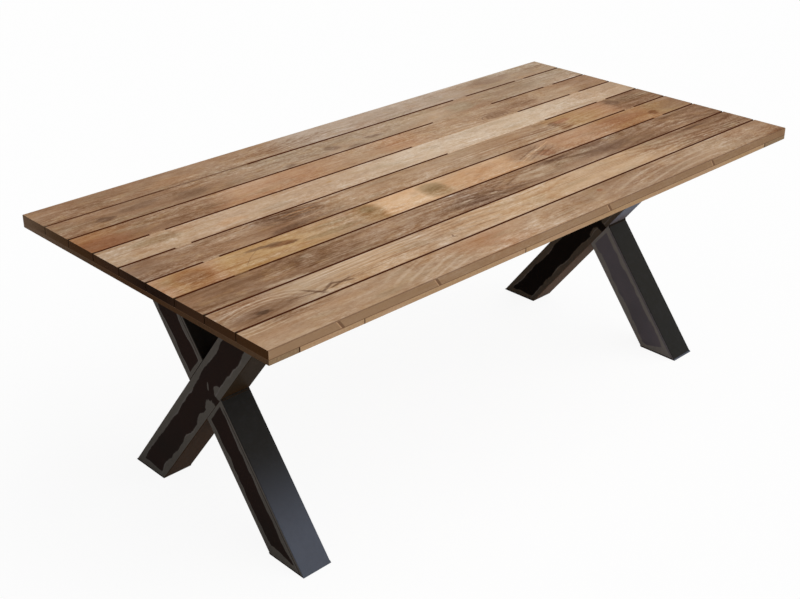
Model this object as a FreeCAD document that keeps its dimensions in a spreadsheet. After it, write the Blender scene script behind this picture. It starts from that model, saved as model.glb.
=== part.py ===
"""Dining table with a plank top on two welded X-shaped leg frames.

Millimetres. X runs along the table, Y across it, Z up. The origin is on the floor
under the middle of the table, and the front of the table faces -Y.
"""

import FreeCAD, Part
import os
import Sketcher

X_AXIS = FreeCAD.Vector(1, 0, 0)

# Driving dimensions: alias, size, what it is.
SIZES = [
    ("top_length", 2000, "length of the top"),
    ("top_width", 1000, "width of the top"),
    ("table_height", 760, "floor to the top's surface"),
    ("plank_thickness", 22, "thickness of the upper layer"),
    ("plank_gap", 3, "open joint between two rows of planks"),
    ("plank_bevel", 1.5, "bevel along a plank's upper edges"),
    ("scarf_run", 16, "how far a scarf joint leans over the plank's thickness"),
    ("scarf_one", 187, "first scarf of the front row, from the left end"),
    ("scarf_two", 486, "second scarf, from the left end"),
    ("scarf_three", 1125, "third scarf, from the left end"),
    ("scarf_four", 1602, "fourth scarf, from the left end"),
    ("slip_length", 45, "length of a slip over a leg frame"),
    ("slip_centre", 815, "middle of the table to the middle of those slips"),
    ("slip_depth", 18, "height of a slip"),
    ("slip_set_down", 1.2, "top's surface down to a slip"),
    ("long_slip_end", 535, "middle of the table to the right end of the long slips"),
    ("long_slip_a", 430, "long slip in the fifth gap"),
    ("long_slip_b", 465, "long slip in the sixth gap"),
    ("long_slip_c", 265, "long slip in the seventh gap"),
    ("long_slip_d", 60, "long slip in the eighth gap"),
    ("batten_thickness", 13, "thickness of the lower layer"),
    ("left_batten_width", 83, "end batten at the left end"),
    ("right_batten_width", 112, "end batten at the right end"),
    ("edge_batten_width", 70, "battens along the front and back"),
    ("edge_joint_one", 268, "first butt joint of the front batten, from the left end"),
    ("edge_joint_two", 804, "second butt joint, from the left end"),
    ("leg_batten_width", 150, "batten over a leg frame"),
    ("mid_batten_width", 90, "batten between the leg frames"),
    ("mid_batten_centre", 260, "middle of the table to the middle of such a batten"),
    ("frame_inset", 175, "table's end to the outer face of a leg frame"),
    ("foot_spacing", 597, "middle to middle of a leg frame's feet, at the floor"),
    ("arm_spacing", 527, "middle to middle of its arms, at the mounting plate"),
    ("leg_width", 105, "box section across the bar, in the plane of the X"),
    ("leg_depth", 90, "box section along the table"),
    ("leg_wall", 4, "wall of the box section"),
    ("leg_corner", 3, "outer corner radius of the box section"),
    ("foot_plate", 4, "plate that closes a bar at the floor"),
    ("mount_thickness", 6, "mounting plate"),
    ("mount_width", 112, "mounting plate along the table"),
    ("mount_corner", 8, "corner radius of the mounting plate"),
    ("weld_leg", 6, "leg of a weld fillet"),
    ("bolt_clear", 35, "outer face of an arm to the outer bolts beside it"),
    ("bolt_edge", 30, "outer bolts to the end of the mounting plate"),
    ("bolt_pair", 60, "distance between two outer bolts, along the table"),
    ("bolt_size", 8, "thread of the frame bolts"),
    ("bolt_length", 25, "length of a frame bolt under its head"),
    ("bolt_flats", 13, "hexagon head over its flats"),
    ("bolt_head", 5.3, "height of the hexagon head"),
    ("washer_size", 18, "outer diameter of a washer"),
    ("washer_thickness", 1.6, "thickness of a washer"),
    ("bolt_play", 0.5, "hole in a washer or slot, wider than the bolt by this"),
    ("slot_travel", 8, "how much longer than wide a slot is"),
    ("insert_size", 12, "outer diameter of a threaded insert"),
    ("insert_length", 20, "length of a threaded insert"),
    ("screw_size", 4, "shank of a wood screw"),
    ("screw_length", 30, "length of a wood screw"),
    ("screw_head", 9, "flat head of a wood screw, and its counterbore"),
    ("screw_head_depth", 1.8, "thickness of that head"),
    ("screw_sink", 2.5, "depth of the counterbore"),
    ("screw_edge", 12, "inboard edge of a leg batten to its screws"),
    ("cut_overrun", 10, "how far a cut runs past what it cuts"),
]

doc = FreeCAD.newDocument("plank_table")
sheet = doc.addObject("Spreadsheet::Sheet", "Sizes")
for row, (alias, size, meaning) in enumerate(SIZES, start=1):
    sheet.set(f"A{row}", alias)
    sheet.set(f"B{row}", str(size))
    sheet.set(f"C{row}", meaning)
    sheet.setAlias(f"B{row}", alias)
doc.recompute()


def size(alias):
    """Name a cell of the sheet inside an expression."""
    return f"Sizes.{alias}"


def number(expression):
    """Work out an expression now, for a starting position or a count."""
    return float(sheet.evalExpression(expression))


PLANK_ROWS = 9

# The small fasteners and the holes they fill have this many flat sides each, which keeps
# the model light.
SCREW_SIDES = 6
BOLT_SIDES = 10

# Lengths that follow from the driving dimensions, as expressions.
TOP_LEFT = "(-Sizes.top_length / 2)"
TOP_RIGHT = "(Sizes.top_length / 2)"
TOP_FRONT = "(-Sizes.top_width / 2)"
PLANK_WIDTH = f"((Sizes.top_width - {PLANK_ROWS - 1} * Sizes.plank_gap) / {PLANK_ROWS})"
PLANK_PITCH = f"({PLANK_WIDTH} + Sizes.plank_gap)"
PLANK_FLOOR = "(Sizes.table_height - Sizes.plank_thickness)"
FRAME_HEIGHT = f"({PLANK_FLOOR} - Sizes.batten_thickness)"
FRAME_CENTRE = "(Sizes.top_length / 2 - Sizes.frame_inset - Sizes.leg_depth / 2)"
ARM_TOP = f"({FRAME_HEIGHT} - Sizes.mount_thickness)"
HALF_LEG = "(Sizes.leg_width / 2)"
LEG_ANGLE = f"atan(2 * {ARM_TOP} / (Sizes.foot_spacing + Sizes.arm_spacing))"
FOOT_WIDTH = f"(Sizes.leg_width / sin({LEG_ANGLE}))"
HALF_FOOTING = f"(Sizes.foot_spacing / 2 + {FOOT_WIDTH} / 2)"
CROSSING = f"(Sizes.foot_spacing / 2 * tan({LEG_ANGLE}))"
MITRE_RISE = f"({HALF_LEG} / tan({LEG_ANGLE}))"
UPPER_REACH = f"(({ARM_TOP} - {CROSSING}) / sin({LEG_ANGLE}))"
LOWER_REACH = f"(({CROSSING} - Sizes.foot_plate) / sin({LEG_ANGLE}))"
BUTT_REACH = f"({HALF_LEG} / sin(2 * {LEG_ANGLE}))"
OUTER_BOLT = f"(Sizes.arm_spacing / 2 + {FOOT_WIDTH} / 2 + Sizes.bolt_clear)"
MOUNT_LENGTH = f"(2 * ({OUTER_BOLT} + Sizes.bolt_edge))"
BOLT_HOLE = "(Sizes.bolt_size + Sizes.bolt_play)"
WASHER_FLOOR = f"({ARM_TOP} - Sizes.washer_thickness)"
SCREW_REACH = "(Sizes.screw_sink - Sizes.screw_head_depth + Sizes.screw_length)"

# The leg frames stand at the left and the right end: name and side.
FRAMES = [("left", "-1"), ("right", "1")]

sub_parts = []


def new_body(label, x="0", y="0", z="0", lean=None, lean_axis=X_AXIS):
    """Start a sub-part whose origin stands at x, y, z, turned by lean degrees about an axis."""
    body = doc.addObject("PartDesign::Body", label)
    body.Label = label
    if lean is not None:
        body.Placement = FreeCAD.Placement(FreeCAD.Vector(), FreeCAD.Rotation(lean_axis, number(lean)))
        body.setExpression(".Placement.Rotation.Angle", lean)
    for direction, expression in zip("xyz", (x, y, z)):
        body.setExpression(f".Placement.Base.{direction}", expression)
    sub_parts.append(body)
    return body


def origin_item(body, role):
    """Find one of the body's own planes or axes."""
    return next(item for item in body.Origin.OriginFeatures if item.Role == role)


def lay_on_plane(feature, body, plane="XY_Plane", x="0", y="0", z="0"):
    """Attach a sketch or primitive to one of the body's own planes, shifted by x, y, z."""
    feature.AttachmentSupport = [(origin_item(body, plane), "")]
    feature.MapMode = "FlatFace"
    for direction, expression in zip("xyz", (x, y, z)):
        feature.setExpression(f".AttachmentOffset.Base.{direction}", expression)
    return feature


def new_sketch(body, name, plane="XY_Plane", height="0"):
    """Lay a sketch on one of the body's own planes, raised along its normal by height."""
    sketch = body.newObject("Sketcher::SketchObject", f"{body.Label}_{name}")
    return lay_on_plane(sketch, body, plane, z=height)


def set_datum(sketch, kind, *geometry_and_value):
    """Add a dimension to the sketch and bind it to its expression, the last argument."""
    *geometry, expression = geometry_and_value
    index = sketch.addConstraint(Sketcher.Constraint(kind, *geometry, number(expression)))
    sketch.setExpression(f"Constraints[{index}]", expression)


def pin_point(sketch, geometry, point, across, up):
    """Fix a point of the sketch at across, up from the sketch's origin."""
    set_datum(sketch, "DistanceX", -1, 1, geometry, point, across)
    set_datum(sketch, "DistanceY", -1, 1, geometry, point, up)


def draw_polygon(sketch, corners):
    """Draw a closed outline through corners, each a pair of expressions."""
    first = sketch.GeometryCount
    spots = [FreeCAD.Vector(number(across), number(up), 0) for across, up in corners]
    lines = [Part.LineSegment(here, there) for here, there in zip(spots, spots[1:] + spots[:1])]
    sketch.addGeometry(lines, False)
    joints = [
        Sketcher.Constraint("Coincident", first + index, 2, first + (index + 1) % len(corners), 1)
        for index in range(len(corners))
    ]
    sketch.addConstraint(joints)
    for index, (across, up) in enumerate(corners):
        pin_point(sketch, first + index, 1, across, up)


def draw_rectangle(sketch, across, up, width, height):
    """Draw a rectangle of width by height about its middle at across, up."""
    left, right = f"{across} - {width} / 2", f"{across} + {width} / 2"
    low, high = f"{up} - {height} / 2", f"{up} + {height} / 2"
    draw_polygon(sketch, [(left, low), (right, low), (right, high), (left, high)])


def draw_slot(sketch, across, up, width, travel):
    """Draw a round-ended slot, longer than wide by travel along the sketch's second axis."""
    middle = FreeCAD.Vector(number(across), number(up), 0)
    side = FreeCAD.Vector(number(width) / 2, 0, 0)
    rise = FreeCAD.Vector(0, number(width) / 2, 0)
    half = FreeCAD.Vector(0, number(travel) / 2, 0)
    high, low = middle + half, middle - half
    upper = sketch.addGeometry(Part.Arc(high + side, high + rise, high - side), False)
    left = sketch.addGeometry(Part.LineSegment(high - side, low - side), False)
    lower = sketch.addGeometry(Part.Arc(low - side, low - rise, low + side), False)
    right = sketch.addGeometry(Part.LineSegment(low + side, high + side), False)
    for here, there in ((upper, left), (left, lower), (lower, right), (right, upper)):
        sketch.addConstraint(Sketcher.Constraint("Tangent", here, 2, there, 1))
    pin_point(sketch, upper, 3, across, f"{up} + {travel} / 2")
    pin_point(sketch, lower, 3, across, f"{up} - {travel} / 2")
    set_datum(sketch, "Radius", upper, f"{width} / 2")


def pad(body, sketch, length, symmetric=False):
    """Raise the sketch into a solid."""
    feature = body.newObject("PartDesign::Pad", f"{sketch.Name}_pad")
    feature.Profile = sketch
    feature.setExpression("Length", length)
    if symmetric:
        feature.SideType = "Symmetric"
    return feature


def pocket(body, sketch, depth=None, symmetric=False):
    """Cut the sketch out of the body, upwards from its plane, or right through it."""
    doc.recompute()
    volume_before = body.Shape.Volume
    feature = body.newObject("PartDesign::Pocket", f"{sketch.Name}_pocket")
    feature.Profile = sketch
    feature.Reversed = True
    if depth is None:
        feature.Type = "ThroughAll"
    else:
        feature.setExpression("Length", depth)
    if symmetric:
        feature.SideType = "Symmetric"
    check_cut(body, volume_before)
    return feature


def check_cut(body, volume_before):
    """Stop if the body has lost nothing since its volume was taken."""
    doc.recompute()
    if body.Shape.Volume > volume_before - 1e-3:
        raise RuntimeError(f"the last cut of {body.Label} takes nothing off")


def prism(body, x, y, z, diameter, length, sides, cut=False):
    """Add, or cut, an upright regular prism with its lower face at z; diameter is over its corners."""
    kind = "Subtractive" if cut else "Additive"
    feature = body.newObject(f"PartDesign::{kind}Prism", f"{body.Label}_prism")
    lay_on_plane(feature, body, x=x, y=y, z=z)
    feature.Polygon = sides
    feature.Refine = False
    feature.setExpression("Circumradius", f"{diameter} / 2")
    feature.setExpression("Height", length)
    return feature


def repeat_for_rows(body, features, rows):
    """Repeat features of a body backwards across the table, once for each row of planks."""
    pattern = body.newObject("PartDesign::LinearPattern", f"{body.Label}_rows")
    pattern.Originals = features
    pattern.Direction = (origin_item(body, "Y_Axis"), [""])
    pattern.Mode = "Spacing"
    pattern.setExpression("Offset", PLANK_PITCH)
    pattern.Occurrences = rows
    body.Tip = pattern


def mirror(body, *planes):
    """Mirror the whole body across its own planes, one after the other."""
    for plane in planes:
        feature = body.newObject("PartDesign::Mirrored", f"{body.Label}_mirror")
        feature.TransformMode = "Whole shape"
        feature.MirrorPlane = (origin_item(body, plane), [""])
        body.Tip = feature
        doc.recompute()


def round_corners(body, stock, radius):
    """Round the edges of a fresh pad that run along its own Z axis."""
    doc.recompute()
    upright = [
        f"Edge{index}"
        for index, edge in enumerate(stock.Shape.Edges, start=1)
        if abs(edge.tangentAt(edge.FirstParameter).z) > 0.99
    ]
    rounding = body.newObject("PartDesign::Fillet", f"{body.Label}_corners")
    rounding.Base = (stock, upright)
    rounding.setExpression("Radius", radius)
    return rounding


# --- Where the fasteners stand -----------------------------------------------------
# Six bolts hold each leg frame: two beyond each arm and one in the middle of the rows
# on either side of the centre row. One screw joins every cross batten to every row that
# it crosses, beside the mounting plate on the battens that carry a frame.


def row_centre(row):
    """Middle of a row of planks, counted from the front, across the table."""
    return f"({TOP_FRONT} + {PLANK_WIDTH} / 2 + {row - 1} * {PLANK_PITCH})"


def gap_centre(row):
    """Middle of the gap behind a row of planks."""
    return f"({row_centre(row)} + {PLANK_PITCH} / 2)"


# The three bolts behind the middle of a frame, from the frame's centre. The same three
# stand in front of it.
BACK_BOLTS = [
    ("(-Sizes.bolt_pair / 2)", OUTER_BOLT),
    ("(Sizes.bolt_pair / 2)", OUTER_BOLT),
    ("0", PLANK_PITCH),
]


def bolt_spots(x):
    """Where the six bolts of a frame stand whose centre is at x."""
    return [(f"({x} + {along})", f"({side} * {across})") for side in (-1, 1) for along, across in BACK_BOLTS]


SCREW_ASIDE = "(Sizes.leg_batten_width / 2 - Sizes.screw_edge)"
INNER_SCREW_LINES = [
    f"(-{FRAME_CENTRE} + {SCREW_ASIDE})",
    "(-Sizes.mid_batten_centre)",
    "Sizes.mid_batten_centre",
    f"({FRAME_CENTRE} - {SCREW_ASIDE})",
]
END_SCREW_LINES = [
    f"({TOP_LEFT} + Sizes.left_batten_width / 2)",
    f"({TOP_RIGHT} - Sizes.right_batten_width / 2)",
]
INNER_ROWS = range(2, PLANK_ROWS)
SCREWS = [(x, row_centre(row)) for x in INNER_SCREW_LINES for row in INNER_ROWS]
SCREWS += [(x, row_centre(row)) for x in END_SCREW_LINES for row in range(1, PLANK_ROWS + 1)]
BOLTS = [spot for _, side in FRAMES for spot in bolt_spots(f"{side} * {FRAME_CENTRE}")]


def drill_plank(body, centre, length, spots, sides, diameter, depth):
    """Drill a plank from below, depth deep, at those of the spots whose hole reaches it."""
    x, y = centre
    reach_x = (number(length) + number(diameter)) / 2
    reach_y = (number(PLANK_WIDTH) + number(diameter)) / 2
    near = [
        (f"{spot_x} - {x}", f"{spot_y} - {y}")
        for spot_x, spot_y in spots
        if abs(number(f"{spot_x} - {x}")) < reach_x and abs(number(f"{spot_y} - {y}")) < reach_y
    ]
    if near:
        doc.recompute()
        volume_before = body.Shape.Volume
        over = size("cut_overrun")
        for across, up in near:
            prism(body, across, up, f"-{over}", diameter, f"{depth} + {over}", sides, cut=True)
        check_cut(body, volume_before)


# --- Planks -----------------------------------------------------------------------
# Every plank is bevelled along its upper edges. The front row is five lengths scarfed
# end to end; the other rows are whole. The screws and inserts enter from below.


def draw_plank_section(sketch):
    """Draw the end view of a plank, standing on the sketch's origin."""
    half, bevel, thick = f"{PLANK_WIDTH} / 2", size("plank_bevel"), size("plank_thickness")
    draw_polygon(sketch, [
        (f"-{half}", "0"),
        (half, "0"),
        (half, f"{thick} - {bevel}"),
        (f"{half} - {bevel}", thick),
        (f"-{half} + {bevel}", thick),
        (f"-{half}", f"{thick} - {bevel}"),
    ])


def cut_scarf(body, name, place, past):
    """Cut the leaning end of a scarf joint: its top edge at place, the waste as far as past."""
    over, run, thick = size("cut_overrun"), size("scarf_run"), size("plank_thickness")
    lean = f"{run} / {thick} * {over}"
    side = new_sketch(body, name, "XZ_Plane")
    draw_polygon(side, [
        (f"{place} + {run} + {lean}", f"-{over}"),
        (f"{place} - {lean}", f"{thick} + {over}"),
        (past, f"{thick} + {over}"),
        (past, f"-{over}"),
    ])
    pocket(body, side, f"{PLANK_WIDTH} + 2 * {over}", symmetric=True)


def add_plank(label, row, start, end, scarfed_start=False, scarfed_end=False):
    """Make a plank, or one length of it, between two places along the table."""
    centre = (f"(({start} + {end}) / 2)", row_centre(row))
    half = f"(({end} - {start}) / 2)"
    body = new_body(label, *centre, PLANK_FLOOR)
    section = new_sketch(body, "section", "YZ_Plane", f"-{half}")
    draw_plank_section(section)
    run, over = size("scarf_run"), size("cut_overrun")
    lap = run if scarfed_end else "0"
    pad(body, section, f"2 * {half} + {lap}")
    if scarfed_start:
        cut_scarf(body, "start_scarf", f"-{half}", f"-{half} - {run} - {over}")
    if scarfed_end:
        cut_scarf(body, "end_scarf", half, f"{half} + 2 * {run} + {over}")
    length = f"(2 * {half})"
    drill_plank(body, centre, length, SCREWS, SCREW_SIDES, size("screw_size"),
                f"{SCREW_REACH} - Sizes.batten_thickness")
    drill_plank(body, centre, length, BOLTS, BOLT_SIDES, size("insert_size"),
                "Sizes.insert_length - Sizes.batten_thickness")


scarfs = [f"({TOP_LEFT} + Sizes.scarf_{count})" for count in ("one", "two", "three", "four")]
breaks = [TOP_LEFT] + scarfs + [TOP_RIGHT]
for index, (start, end) in enumerate(zip(breaks, breaks[1:]), start=1):
    add_plank(f"front_plank_length_{index}", 1, start, end,
              scarfed_start=index > 1, scarfed_end=index <= len(scarfs))

for row in range(2, PLANK_ROWS + 1):
    add_plank(f"plank_row_{row}", row, TOP_LEFT, TOP_RIGHT)

# --- Slips in the gaps --------------------------------------------------------------
# Short slips keep the rows apart over the leg frames. Four longer ones close the gaps
# right of the middle.

SLIP_FLOOR = "(Sizes.table_height - Sizes.slip_set_down - Sizes.slip_depth)"
SHORT_SLIP_GAPS = [("-1", (4, 5, 6)), ("1", (3, 4, 5, 6, 7))]
LONG_SLIPS = [(5, "long_slip_a"), (6, "long_slip_b"), (7, "long_slip_c"), (8, "long_slip_d")]


def add_slips(label, slips):
    """Make thin strips that fill the gaps; each is its middle along X, its gap and its length."""
    body = new_body(label, z=SLIP_FLOOR)
    outline = new_sketch(body, "outline")
    for x, gap, length in slips:
        draw_rectangle(outline, x, gap_centre(gap), length, size("plank_gap"))
    pad(body, outline, size("slip_depth"))


add_slips("short_slips", [
    (f"{side} * Sizes.slip_centre", gap, size("slip_length"))
    for side, gaps in SHORT_SLIP_GAPS
    for gap in gaps
])
for gap, alias in LONG_SLIPS:
    add_slips(f"long_slip_gap_{gap}", [(f"(Sizes.long_slip_end - {size(alias)} / 2)", gap, size(alias))])

# --- Battens of the lower layer --------------------------------------------------------
# The end battens run right across, so their end grain shows at the corners. The front
# and back battens are butted between them in three lengths, and the cross battens run
# between those two.


def add_batten(label, x, y, length, width):
    """Make a board of the lower layer."""
    body = new_body(label, x, y, FRAME_HEIGHT)
    outline = new_sketch(body, "outline")
    draw_rectangle(outline, "0", "0", length, width)
    pad(body, outline, size("batten_thickness"))
    return body


def drill_batten(body, x, first_row, rows):
    """Drill and counterbore a cross batten for one screw in each of the rows."""
    doc.recompute()
    volume_before = body.Shape.Volume
    over = size("cut_overrun")
    spot = (x, row_centre(first_row), f"-{over}")
    through = f"Sizes.batten_thickness + 2 * {over}"
    hole = prism(body, *spot, size("screw_size"), through, SCREW_SIDES, cut=True)
    sink = prism(body, *spot, size("screw_head"), f"Sizes.screw_sink + {over}", SCREW_SIDES, cut=True)
    repeat_for_rows(body, [hole, sink], rows)
    check_cut(body, volume_before)


for name, x in zip(("left", "right"), END_SCREW_LINES):
    batten = add_batten(f"{name}_end_batten", x, "0", size(f"{name}_batten_width"), size("top_width"))
    drill_batten(batten, "0", 1, PLANK_ROWS)

EDGE_START = f"({TOP_LEFT} + Sizes.left_batten_width)"
EDGE_END = f"({TOP_RIGHT} - Sizes.right_batten_width)"
FRONT_JOINTS = [f"({TOP_LEFT} + Sizes.edge_joint_{count})" for count in ("one", "two")]
BACK_JOINTS = [f"({TOP_RIGHT} - Sizes.edge_joint_{count})" for count in ("two", "one")]
for name, side, joints in (("front", "-1", FRONT_JOINTS), ("back", "1", BACK_JOINTS)):
    ends = [EDGE_START] + joints + [EDGE_END]
    for index, (start, end) in enumerate(zip(ends, ends[1:]), start=1):
        middle = f"(({start} + {end}) / 2)"
        line = f"({side} * (Sizes.top_width - Sizes.edge_batten_width) / 2)"
        add_batten(f"{name}_batten_length_{index}", middle, line, f"({end} - {start})",
                   size("edge_batten_width"))

INNER_WIDTH = "(Sizes.top_width - 2 * Sizes.edge_batten_width)"
for name, side in FRAMES:
    batten = add_batten(f"{name}_leg_batten", f"({side} * {FRAME_CENTRE})", "0",
                        size("leg_batten_width"), INNER_WIDTH)
    for x, y in bolt_spots("0"):
        prism(batten, x, y, "-Sizes.cut_overrun", size("insert_size"),
              "Sizes.batten_thickness + 2 * Sizes.cut_overrun", BOLT_SIDES, cut=True)
    drill_batten(batten, f"(-{side} * {SCREW_ASIDE})", min(INNER_ROWS), len(INNER_ROWS))
    batten = add_batten(f"{name}_mid_batten", f"({side} * Sizes.mid_batten_centre)", "0",
                        size("mid_batten_width"), INNER_WIDTH)
    drill_batten(batten, "0", min(INNER_ROWS), len(INNER_ROWS))

# --- Leg frames ----------------------------------------------------------------------
# In each X a long bar runs from the top at the front to the floor at the back, and an
# upper arm and a lower leg are butted to its two sides. Every bar is a mitred length of
# the same box section, hollow from end to end.

LEAN = f"(90 deg - {LEG_ANGLE})"
BACKWARDS = FreeCAD.Vector(-1, 0, 0)
LONG_BAR_SLOPE = f"(-1 / tan({LEG_ANGLE}))"
SHORT_BAR_SLOPE = f"(1 / tan({LEG_ANGLE}))"
BUTT_SLOPE = f"(1 / tan(2 * {LEG_ANGLE}))"


def cut_mitre(body, name, height, slope, side):
    """Cut a bar off along a line through its axis at height; side tells which end goes."""
    over = size("cut_overrun")
    reach = f"({HALF_LEG} + {over})"
    far = f"{height} + {side} * ({MITRE_RISE} + 4 * {over})"
    cut = new_sketch(body, name, "YZ_Plane")
    draw_polygon(cut, [
        (f"-{reach}", f"{height} - {reach} * {slope}"),
        (reach, f"{height} + {reach} * {slope}"),
        (reach, far),
        (f"-{reach}", far),
    ])
    pocket(body, cut, f"Sizes.leg_depth + 2 * {over}", symmetric=True)


def add_bar(label, x, lean_axis, low, low_slope, high, high_slope):
    """Make a bar between two mitres, each given by its height on the axis and its slope."""
    body = new_body(label, x, "0", CROSSING, LEAN, lean_axis)
    start = f"({low} - {MITRE_RISE})"
    section = new_sketch(body, "section", height=start)
    draw_rectangle(section, "0", "0", size("leg_depth"), size("leg_width"))
    stock = pad(body, section, f"{high} + {MITRE_RISE} - {start}")
    round_corners(body, stock, size("leg_corner"))
    bore = new_sketch(body, "bore", height=start)
    inner_depth = "(Sizes.leg_depth - 2 * Sizes.leg_wall)"
    inner_width = "(Sizes.leg_width - 2 * Sizes.leg_wall)"
    draw_rectangle(bore, "0", "0", inner_depth, inner_width)
    pocket(body, bore)
    cut_mitre(body, "low_mitre", low, low_slope, "-1")
    cut_mitre(body, "high_mitre", high, high_slope, "1")


def add_foot_plates(label, x):
    """Close both feet with plates whose edges carry on the slope of the bars."""
    body = new_body(label, x)
    outline = new_sketch(body, "outline", "YZ_Plane")
    rise = f"(Sizes.foot_plate / tan({LEG_ANGLE}))"
    for side in (-1, 1):
        outer = f"{side} * {HALF_FOOTING}"
        inner = f"{side} * ({HALF_FOOTING} - {FOOT_WIDTH})"
        draw_polygon(outline, [
            (outer, "0"),
            (inner, "0"),
            (f"{inner} - {side} * {rise}", size("foot_plate")),
            (f"{outer} - {side} * {rise}", size("foot_plate")),
        ])
    pad(body, outline, size("leg_depth"), symmetric=True)


def add_mount_plate(label, x):
    """Make the plate that carries the top; its slots let the planks swell across the table."""
    body = new_body(label, x, "0", ARM_TOP)
    outline = new_sketch(body, "outline")
    draw_rectangle(outline, "0", "0", size("mount_width"), MOUNT_LENGTH)
    round_corners(body, pad(body, outline, size("mount_thickness")), size("mount_corner"))
    slots = new_sketch(body, "slots")
    for bolt_x, bolt_y in bolt_spots("0"):
        draw_slot(slots, bolt_x, bolt_y, BOLT_HOLE, size("slot_travel"))
    pocket(body, slots)


def add_welds(label, x):
    """Lay the weld fillets in the four notches of an X and around the arms under the plate."""
    body = new_body(label, x)
    leg = size("weld_leg")
    run, rise = f"({leg} * cos({LEG_ANGLE}))", f"({leg} * sin({LEG_ANGLE}))"
    beads = new_sketch(body, "beads", "YZ_Plane")
    for side in (-1, 1):
        peak = f"{CROSSING} + {side} * {HALF_LEG} / cos({LEG_ANGLE})"
        draw_polygon(beads, [
            ("0", peak),
            (run, f"{peak} + {side} * {rise}"),
            (f"-{run}", f"{peak} + {side} * {rise}"),
        ])
        tip = f"{side} * {FOOT_WIDTH} / 2"
        draw_polygon(beads, [
            (tip, CROSSING),
            (f"{tip} + {side} * {run}", f"{CROSSING} + {rise}"),
            (f"{tip} + {side} * {run}", f"{CROSSING} - {rise}"),
        ])
        for edge in (-1, 1):
            corner = f"{side} * Sizes.arm_spacing / 2 + {edge} * {FOOT_WIDTH} / 2"
            draw_polygon(beads, [
                (corner, ARM_TOP),
                (f"{corner} + {edge} * {leg}", ARM_TOP),
                (f"{corner} - {side} * {run}", f"{ARM_TOP} - {rise}"),
            ])
    pad(body, beads, "Sizes.leg_depth - 2 * Sizes.leg_corner", symmetric=True)
    for side in (-1, 1):
        faces = new_sketch(body, "arm_faces", "XZ_Plane", f"-{side} * Sizes.arm_spacing / 2")
        for edge in (-1, 1):
            face = f"{edge} * Sizes.leg_depth / 2"
            draw_polygon(faces, [
                (face, ARM_TOP),
                (f"{face} + {edge} * {leg}", ARM_TOP),
                (face, f"{ARM_TOP} - {leg}"),
            ])
        pad(body, faces, f"{FOOT_WIDTH} - 2 * {leg}", symmetric=True)


for name, side in FRAMES:
    x = f"({side} * {FRAME_CENTRE})"
    foot, top = f"(-{LOWER_REACH})", UPPER_REACH
    add_bar(f"{name}_long_bar", x, X_AXIS, foot, LONG_BAR_SLOPE, top, LONG_BAR_SLOPE)
    add_bar(f"{name}_upper_arm", x, BACKWARDS, BUTT_REACH, BUTT_SLOPE, top, SHORT_BAR_SLOPE)
    add_bar(f"{name}_lower_leg", x, BACKWARDS, foot, SHORT_BAR_SLOPE, f"(-{BUTT_REACH})", BUTT_SLOPE)
    add_foot_plates(f"{name}_foot_plates", x)
    add_mount_plate(f"{name}_mount_plate", x)
    add_welds(f"{name}_frame_welds", x)

# --- Fasteners ---------------------------------------------------------------------------
# Wood screws hold the battens to the planks. Each frame bolt goes through a washer and a
# slot of the mounting plate into a threaded insert.

screws = new_body("batten_screws", z=FRAME_HEIGHT)
for lines, rows in ((INNER_SCREW_LINES, INNER_ROWS), (END_SCREW_LINES, range(1, PLANK_ROWS + 1))):
    first_of_each = []
    for x in lines:
        y = row_centre(min(rows))
        first_of_each += [
            prism(screws, x, y, "Sizes.screw_sink - Sizes.screw_head_depth",
                  size("screw_head"), size("screw_head_depth"), SCREW_SIDES),
            prism(screws, x, y, size("screw_sink"),
                  size("screw_size"), "Sizes.screw_length - Sizes.screw_head_depth", SCREW_SIDES),
        ]
    repeat_for_rows(screws, first_of_each, len(rows))

inserts = new_body("threaded_inserts", z=FRAME_HEIGHT)
washers = new_body("frame_washers", z=WASHER_FLOOR)
bolts = new_body("frame_bolts", z=WASHER_FLOOR)
HEXAGON_CORNERS = "(2 * Sizes.bolt_flats / sqrt(3))"
HEXAGON_SIDES = 6
right_back = [(f"({FRAME_CENTRE} + {along})", across) for along, across in BACK_BOLTS]
for x, y in right_back:
    prism(inserts, x, y, "0", size("insert_size"), size("insert_length"), BOLT_SIDES)
    prism(washers, x, y, "0", size("washer_size"), size("washer_thickness"), BOLT_SIDES)
    prism(bolts, x, y, "-Sizes.bolt_head", HEXAGON_CORNERS, size("bolt_head"), HEXAGON_SIDES)
    prism(bolts, x, y, "0", size("bolt_size"), size("bolt_length"), BOLT_SIDES)
for x, y in right_back:
    prism(inserts, x, y, "0", size("bolt_size"), size("insert_length"), BOLT_SIDES, cut=True)
    prism(washers, x, y, "0", BOLT_HOLE, size("washer_thickness"), BOLT_SIDES, cut=True)
for body in (inserts, washers, bolts):
    mirror(body, "XZ_Plane", "YZ_Plane")

# --- Check and write -----------------------------------------------------------------------

doc.recompute()
failed = [item.Name for item in doc.Objects if "Invalid" in item.State or "Error" in item.State]
if failed:
    raise RuntimeError(f"these objects failed: {failed}")

os.makedirs("parts", exist_ok=True)
for body in sub_parts:
    shape = body.Shape
    if shape.isNull() or not shape.isValid() or not shape.Solids:
        raise RuntimeError(f"{body.Label} has no valid solid")
    shape.exportStep(f"parts/{body.Label}.step")
    print(f"{body.Label}: {len(shape.Solids)} solids, {shape.Volume / 1000:.1f} cm3")
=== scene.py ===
"""Dining table: nine rows of planks on a thin batten layer, on two welded X frames."""

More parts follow.
